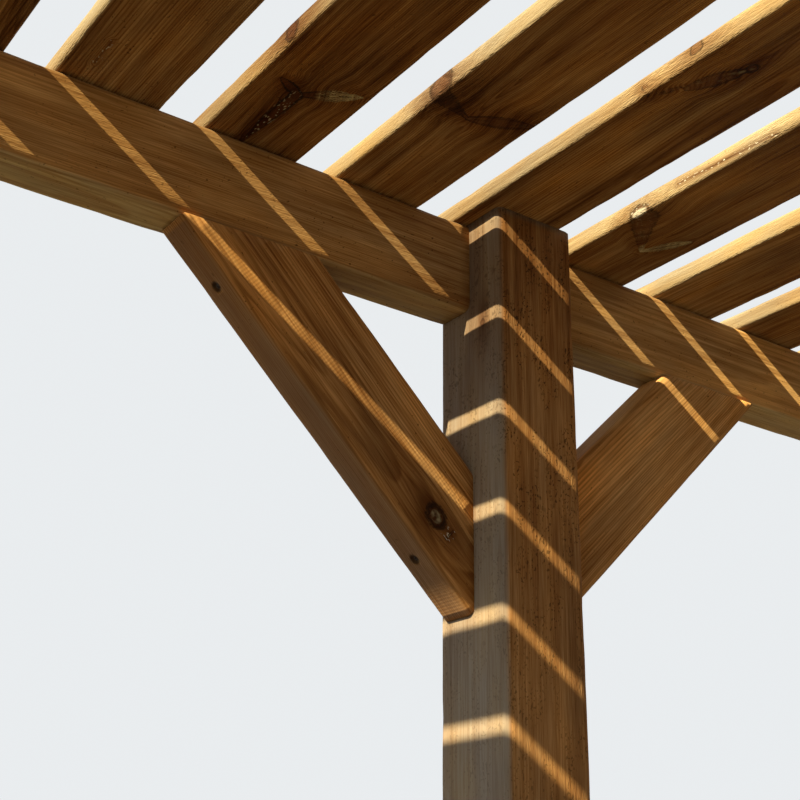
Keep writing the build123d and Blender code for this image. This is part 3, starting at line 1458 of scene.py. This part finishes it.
@dataclass
class Braces:
    """The knee braces, cut plumb and level at their own run and drop.

    Attributes:
        run: How far a brace reaches along its beam.
        drop: How far it reaches down its post.
        depth: The board's width, across the slope.
        arris: The radius of its long edges.
        nose: How much of each sharp tip is nipped off.
        screw_from_tip: How far its screws are from its tips, along the underside.
        recess_radius: The radius of a screw's countersunk mouth.
        pilot_radius: The radius of the hole under it.
        pilot_depth: How deep the hole is.
        spare: How much longer the board is before it is cut, at each end.
        knot_every: About how far apart its knots are.
        wear: How worn it is, beside the other timbers.
        sides: How many sides a bored hole has.
        above: How far the borer reaches out of the recess.
        screws: Where each screw enters and the way it points out, filled in as braces are made.
    """

    run: float = 322 * MM
    drop: float = 310 * MM
    depth: float = 102 * MM
    arris: float = 7 * MM
    nose: float = 4 * MM
    screw_from_tip: float = 72 * MM
    recess_radius: float = 5 * MM
    pilot_radius: float = 2.2 * MM
    pilot_depth: float = 30 * MM
    spare: float = 30 * MM
    knot_every: float = 0.5
    wear: float = 0.8
    sides: int = 20
    above: float = 1 * MM
    screws: list[tuple[Vector, Vector]] = field(default_factory=list)

    def build(self, yard: Yard) -> None:
        """Makes every brace from the yard's timber."""
        for node in yard.nodes(Kind.BRACE):
            self._build_one(yard, node)

    def _build_one(self, yard: Yard, node: str) -> None:
        """Makes one brace from a longer board, sawn off at its post and its beam.

        Args:
            yard: Where the timbers come from.
            node: The brace's node.
        """
        row, _, number, side = node.split("_")
        reach = -1 if side == "left" else 1
        post_low, post_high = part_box(f"{row}_post_{number}")
        low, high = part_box(node)
        beam = f"{row}_beam_{int(number) - (1 if reach < 0 else 0)}"
        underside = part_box(beam)[0].z
        face = post_high.x if reach > 0 else post_low.x
        middle_y = (low.y + high.y) / 2
        top_tip = Vector((face + reach * self.run, middle_y, underside))
        low_tip = Vector((face, middle_y, underside - self.drop))
        slope = (top_tip - low_tip).normalized()
        inward = Vector((-reach * self.drop, 0, self.run)).normalized()
        middle = (top_tip + low_tip) / 2 + inward * self.depth / 2
        length = (top_tip - low_tip).length + 2 * self.spare
        place = board_frame(slope, inward, middle)
        thickness = high.y - low.y
        wood = yard.wood(node, length, self.depth, thickness, self.knot_every)
        timber = Timber(node, length, self.depth, thickness, self.arris, place, wood)
        piece = yard.saw.cut(timber, yard.finishes[Kind.BRACE], self.wear)
        cuts = [
            (top_tip, Vector((0, 0, 1))),
            (low_tip, Vector((-reach, 0, 0))),
            (top_tip - slope * self.nose * self.run / self.drop, slope),
            (low_tip + slope * self.nose * self.drop / self.run, -slope),
        ]
        self._saw_off(piece.data, cuts)
        for start in (top_tip - slope * self.screw_from_tip, low_tip + slope * self.screw_from_tip):
            self._sink(piece, start, -inward)
            self.screws.append((start, -inward))
        yard.saw.renew(piece.data, timber)
        yard.seat(piece, node, Kind.BRACE)

    @staticmethod
    def _saw_off(mesh: bpy.types.Mesh, cuts: Sequence[tuple[Vector, Vector]]) -> None:
        """Cuts a mesh by planes and closes each cut.

        Args:
            mesh: The board.
            cuts: A point of each plane, and the way that the waste lies.
        """
        shape = bmesh.new()
        shape.from_mesh(mesh)
        for point, waste in cuts:
            everything = shape.verts[:] + shape.edges[:] + shape.faces[:]
            cut = bmesh.ops.bisect_plane(
                shape, geom=everything, dist=1e-6, plane_co=point, plane_no=waste, clear_outer=True)
            edges = [e for e in cut["geom_cut"] if isinstance(e, bmesh.types.BMEdge)]
            made = bmesh.ops.edgenet_fill(shape, edges=edges)
            for face in made["faces"]:
                face.smooth = False
                if face.normal.dot(waste) < 0:
                    face.normal_flip()
        bmesh.ops.triangulate(shape, faces=[f for f in shape.faces if len(f.verts) > 4])
        shape.to_mesh(mesh)
        shape.free()

    def _sink(self, piece: bpy.types.Object, start: Vector, outward: Vector) -> None:
        """Bores a countersunk screw recess into a piece.

        Args:
            piece: The brace.
            start: The recess's middle, on the brace's underside.
            outward: The way that the recess opens.
        """
        rings = [
            (self.recess_radius + self.above, self.above),
            (self.pilot_radius, self.pilot_radius - self.recess_radius),
            (self.pilot_radius, -self.pilot_depth),
        ]
        cutter = bmesh.new()
        turn = outward.to_track_quat("Z", "X").to_matrix()
        angles = [2 * math.pi * n / self.sides for n in range(self.sides)]
        rows = []
        for radius, depth in rings:
            points = [Vector((radius * math.cos(a), radius * math.sin(a), depth)) for a in angles]
            rows.append([cutter.verts.new(start + turn @ p) for p in points])
        for upper, lower in zip(rows, rows[1:]):
            for n in range(self.sides):
                m = (n + 1) % self.sides
                cutter.faces.new((upper[n], lower[n], lower[m], upper[m]))
        cutter.faces.new(rows[0])
        cutter.faces.new(list(reversed(rows[-1])))
        mesh = bpy.data.meshes.new("cutter")
        cutter.to_mesh(mesh)
        cutter.free()
        mesh.materials.append(piece.data.materials[0])
        tool = add_piece("cutter", mesh)
        modifier = piece.modifiers.new("recess", "BOOLEAN")
        modifier.operation = "DIFFERENCE"
        modifier.solver = "EXACT"
        modifier.object = tool
        bored = bpy.data.meshes.new_from_object(piece.evaluated_get(bpy.context.evaluated_depsgraph_get()))
        piece.modifiers.clear()
        bpy.data.objects.remove(tool)
        bpy.data.meshes.remove(mesh)
        whole, piece.data = piece.data, bored
        name = whole.name
        bpy.data.meshes.remove(whole)
        bored.name = name


class ScrewTree(GeometryTree):
    """The tree that sets one screw at each point, turned the way the point's normal says."""

    SIDES = 12
    LOBES = 6
    DRIVE_RADIUS = 0.46
    LOBE_DEPTH = 0.09
    SIZES = ("Head", "Shank", "Depth", "Length")

    def __init__(self) -> None:
        """Builds the tree."""
        super().__init__("screws", {"Points": "Geometry", **dict.fromkeys(self.SIZES, "Float")})
        self._build()

    def _screw(self) -> Value:
        """Makes one screw from a cylinder of three rings.

        Returns:
            The screw's mesh, its head's face at the origin and its shank below.
        """
        bench = self.bench
        head, shank, depth, length = (self.value(name) for name in self.SIZES)
        settings = {"fill_type": "TRIANGLE_FAN"}
        inputs = {
            "Vertices": self.SIDES,
            "Side Segments": 2,
            "Fill Segments": 2,
            "Radius": 1.0,
            "Depth": 2.0,
        }
        drum = bench.node("GeometryNodeMeshCylinder", settings, inputs)
        x, y, z = bench.node("GeometryNodeInputPosition", {}).parts()
        out = (x * x + y * y).maths("SQRT")
        lobe = (y.maths("ARCTAN2", x) * float(self.LOBES)).maths("COSINE")
        on_top = z.maths("GREATER_THAN", 0.5)
        at_foot = z.maths("LESS_THAN", -0.5)
        rim = out.maths("GREATER_THAN", 0.9)
        centre = out.maths("LESS_THAN", 0.1)
        top_out = head * (rim + (1.0 - rim) * (self.DRIVE_RADIUS + lobe * self.LOBE_DEPTH))
        top_z = centre * depth * -1.0
        low_z = (head - shank) * (at_foot - 1.0) - length * at_foot
        new_out = on_top * top_out + (1.0 - on_top) * shank * out
        new_z = on_top * top_z + (1.0 - on_top) * low_z
        grow = new_out / out.most(self.LEAST)
        place = bench.vector(x * grow, y * grow, new_z)
        return bench.node("GeometryNodeSetPosition", {}, {"Geometry": drum, "Position": place})

    def _build(self) -> None:
        """Lays out the tree."""
        bench = self.bench
        way = bench.node("GeometryNodeInputNamedAttribute", {"data_type": "FLOAT_VECTOR"}, {"Name": "way"})
        size = bench.node("GeometryNodeInputNamedAttribute", {"data_type": "FLOAT"}, {"Name": "size"})
        turn = bench.node("FunctionNodeAlignRotationToVector", {"axis": "Z"}, {"Vector": way})
        placed = {
            "Points": self.value("Points"),
            "Instance": self._screw(),
            "Rotation": turn,
            "Scale": bench.vector(size, size, size),
        }
        self.close(bench.node("GeometryNodeInstanceOnPoints", {}, placed))


@dataclass
class Fixings:
    """The screws: two through each slat into each row, and one in each brace recess.

    Attributes:
        head: The radius of a screw's head.
        shank: The radius of its shank.
        drive: How deep its drive recess is.
        length: How long it is.
        side: How far a slat's screws are from its centre line.
        below_top: How far below the part's top a slat's screw heads end.
        sunk: How far below the surface a brace's screw heads end.
        brace_size: How large a brace's screws are beside a slat's.
    """

    head: float = 4.4 * MM
    shank: float = 1.9 * MM
    drive: float = 1.6 * MM
    length: float = 16 * MM
    side: float = 30 * MM
    below_top: float = 0.05 * MM
    sunk: float = 2.2 * MM
    brace_size: float = 0.62

    def build(self, yard: Yard, brace_screws: Sequence[tuple[Vector, Vector]]) -> None:
        """Makes all screws as one piece.

        Args:
            yard: What knows the part's nodes.
            brace_screws: Where each brace's screws enter and the way they point out.
        """
        up = Vector((0, 0, 1))
        rows = sorted({round(sum(c.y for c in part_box(node)) / 2, 6) for node in yard.nodes(Kind.BEAM)})
        places = []
        for node in yard.nodes(Kind.SLAT):
            low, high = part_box(node)
            middle = (low.x + high.x) / 2
            for row in rows:
                for side in (-self.side, self.side):
                    places.append((Vector((middle + side, row, high.z - self.below_top)), up, 1.0))
        places += [(start - way * self.sunk, way, self.brace_size) for start, way in brace_screws]
        points = bpy.data.meshes.new("points")
        points.from_pydata([place for place, _, _ in places], [], [])
        ways = points.attributes.new("way", "FLOAT_VECTOR", "POINT")
        ways.data.foreach_set("vector", [number for _, way, _ in places for number in way])
        scales = points.attributes.new("size", "FLOAT", "POINT")
        scales.data.foreach_set("value", [size for _, _, size in places])
        sizes = (self.head, self.shank, self.drive, self.length)
        given = {**dict(zip(ScrewTree.SIZES, sizes)), "Finish": SteelFinish().build()}
        piece = add_piece("screws", ScrewTree().mesh(given, points))
        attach(piece, BODY)
        LOG.info("%s: %d faces", piece.name, len(piece.data.polygons))


@dataclass
class Studio:
    """The camera at the photograph's viewing angle, a plain floor and plain light.

    Attributes:
        eye: The camera's place from the top of the photographed post's middle.
        heading: The way it looks, in degrees from +Y towards +X.
        tilt: How far it looks up, in degrees.
        roll: How far it leans, in degrees.
        focal: Its focal length in pixels of the frame.
        frame_side: The photograph's width in pixels.
        sensor: The camera's sensor width in millimetres.
        nearest: How near to the camera things still show.
        fall: How far the key light travels along X and Y for each metre down.
        key_power: The key light's strength.
        key_angle: How wide the key light is, in degrees.
        key_colour: The key light's colour.
        side_travel: The way that the wide soft light travels.
        side_power: Its strength.
        side_angle: How wide it is, in degrees.
        side_colour: Its colour.
        fill: The strength of the soft light from all round.
        fill_colour: Its colour.
        backdrop: How bright the background shows.
        floor_shown: The floor's colour where it shows.
        floor_given: The floor's colour in the light that it gives back.
        floor_radius: How far the floor reaches.
        floor_sides: How many sides its rim has.
    """

    eye: Place = (-0.7942, -0.9378, -0.6810)
    heading: float = 35.27
    tilt: float = 22.15
    roll: float = 0.78
    focal: float = 1337.1
    frame_side: float = 800.0
    sensor: float = 36.0
    nearest: float = 0.05
    fall: tuple[float, float] = (1.45, 0.31)
    key_power: float = 11.8
    key_angle: float = 0.5
    key_colour: Colour = (1.0, 0.94, 0.69)
    side_travel: Place = (1.0, 0.3, 0.0)
    side_power: float = 2.4
    side_angle: float = 60.0
    side_colour: Colour = (0.40, 0.66, 1.0)
    fill: float = 0.47
    fill_colour: Colour = (0.95, 0.98, 1.0)
    backdrop: float = 0.86
    floor_shown: Colour = (0.29, 0.305, 0.355)
    floor_given: Colour = (0.096, 0.080, 0.058)
    floor_radius: float = 40.0
    floor_sides: int = 96

    def build(self) -> None:
        """Sets up the camera, the lights, the world and the floor."""
        bpy.context.scene.view_settings.view_transform = "Standard"
        self._camera()
        self._lamp("key", Vector((*self.fall, -1.0)), self.key_power, self.key_angle, self.key_colour)
        self._lamp("side", Vector(self.side_travel), self.side_power, self.side_angle, self.side_colour)
        self._world()
        self._floor()

    def _camera(self) -> None:
        """Puts the camera inside the pergola, looking up at the middle post of the back row."""
        low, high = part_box("back_post_2")
        top = Vector(((low.x + high.x) / 2, (low.y + high.y) / 2, high.z))
        heading, tilt = math.radians(self.heading), math.radians(self.tilt)
        forward = Vector((
            math.sin(heading) * math.cos(tilt),
            math.cos(heading) * math.cos(tilt),
            math.sin(tilt),
        ))
        camera = bpy.data.cameras.new("camera")
        camera.sensor_width = self.sensor
        camera.lens = self.focal / self.frame_side * self.sensor
        camera.clip_start = self.nearest
        holder = bpy.data.objects.new("camera", camera)
        level = forward.to_track_quat("-Z", "Y").to_matrix().to_4x4()
        lean = Matrix.Rotation(math.radians(self.roll), 4, "Z")
        holder.matrix_world = Matrix.Translation(top + Vector(self.eye)) @ level @ lean
        bpy.context.scene.collection.objects.link(holder)
        bpy.context.scene.camera = holder

    @staticmethod
    def _lamp(name: str, travel: Vector, power: float, angle: float, colour: Colour) -> None:
        """Adds a distant lamp.

        Args:
            name: Its name.
            travel: The way its light travels.
            power: Its strength.
            angle: How wide it is, in degrees.
            colour: Its colour.
        """
        lamp = bpy.data.lights.new(name, "SUN")
        lamp.energy = power
        lamp.angle = math.radians(angle)
        lamp.color = colour
        holder = bpy.data.objects.new(name, lamp)
        holder.rotation_euler = travel.to_track_quat("-Z", "Y").to_euler()
        bpy.context.scene.collection.objects.link(holder)

    def _world(self) -> None:
        """A soft fill from all round, and a pale background where the camera sees it."""
        world = bpy.data.worlds.new("studio")
        bench = emptied(world)
        strength = self._seen(bench) * (self.backdrop - self.fill) + self.fill
        sky = {"Color": (*self.fill_colour, 1.0), "Strength": strength}
        bench.node("ShaderNodeOutputWorld", {}, {"Surface": bench.node("ShaderNodeBackground", {}, sky)})
        bpy.context.scene.world = world

    @staticmethod
    def _seen(bench: Bench) -> Value:
        """1 for rays that show a surface to the camera, straight, mirrored or through glass."""
        path = bench.node("ShaderNodeLightPath", {})
        return path.most(path.sibling("Is Glossy Ray")).most(path.sibling("Is Transmission Ray"))

    def _floor(self) -> None:
        """A plain pale floor that gives back less light than it shows."""
        material = bpy.data.materials.new("floor")
        bench = emptied(material)
        colour = bench.mix(self._seen(bench), self.floor_given, self.floor_shown)
        surface = bench.node("ShaderNodeBsdfDiffuse", {}, {"Color": colour})
        bench.node("ShaderNodeOutputMaterial", {}, {"Surface": surface})
        shape = bmesh.new()
        bmesh.ops.create_circle(shape, cap_ends=True, segments=self.floor_sides, radius=self.floor_radius)
        mesh = bpy.data.meshes.new("floor")
        shape.to_mesh(mesh)
        shape.free()
        mesh.materials.append(material)
        add_piece("floor", mesh)


def main() -> None:
    """Builds the pergola's looks in order."""
    logging.basicConfig(level=logging.INFO, format="%(name)s %(message)s")
    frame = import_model()
    yard = Yard(frame)
    Posts().build(yard)
    Beams().build(yard)
    braces = Braces()
    braces.build(yard)
    SlatDeck().build(yard)
    Fixings().build(yard, braces.screws)
    Studio().build()


if __name__ == "__main__":
    main()
